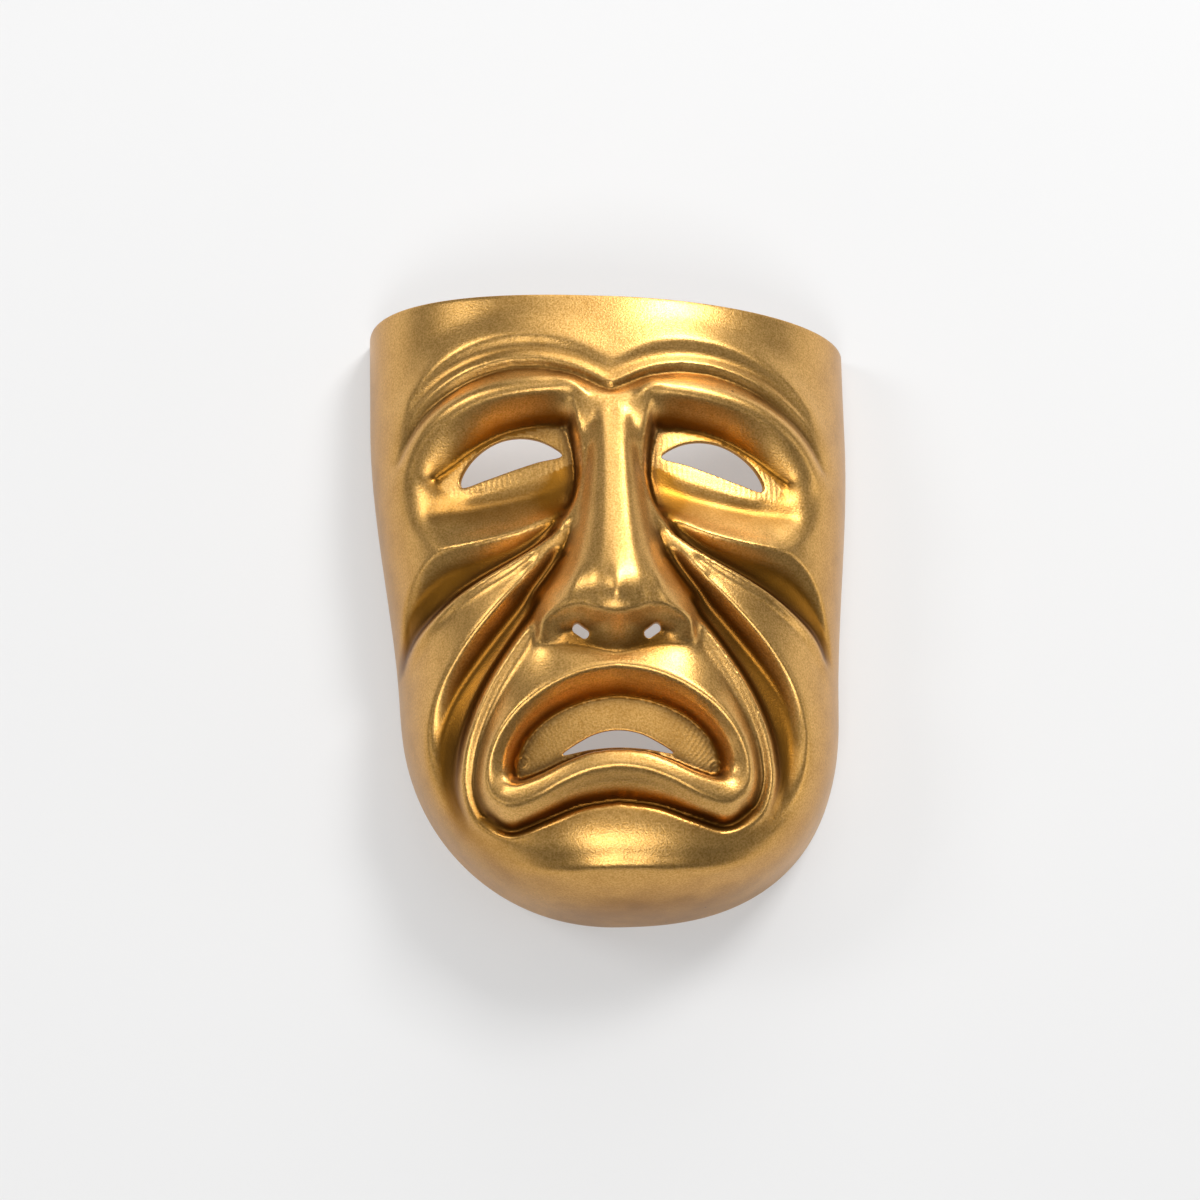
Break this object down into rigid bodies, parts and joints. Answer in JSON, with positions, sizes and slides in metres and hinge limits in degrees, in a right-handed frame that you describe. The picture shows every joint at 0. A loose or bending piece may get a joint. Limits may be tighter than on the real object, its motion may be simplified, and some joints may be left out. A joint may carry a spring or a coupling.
{
  "type": "theatre mask",
  "caption": "Gold tragedy mask for the stage: a thin moulded face shell with drooping brows, carved cheek folds, open eyes, small nostrils and a down-turned open mouth.",
  "frame": {"origin": "under the middle of the mask's bounding box, in the plane of its rim", "axes": "+Z out of the face, +Y from the chin to the brow edge, +X to the right of the picture"},
  "size_m": [0.1726, 0.2176, 0.0924],
  "materials": {
    "gold_paint": "satin metallic gold paint on moulded plastic"
  },
  "bodies": {
    "root": {"mask": "gold_paint"}
  },
  "joints": []
}
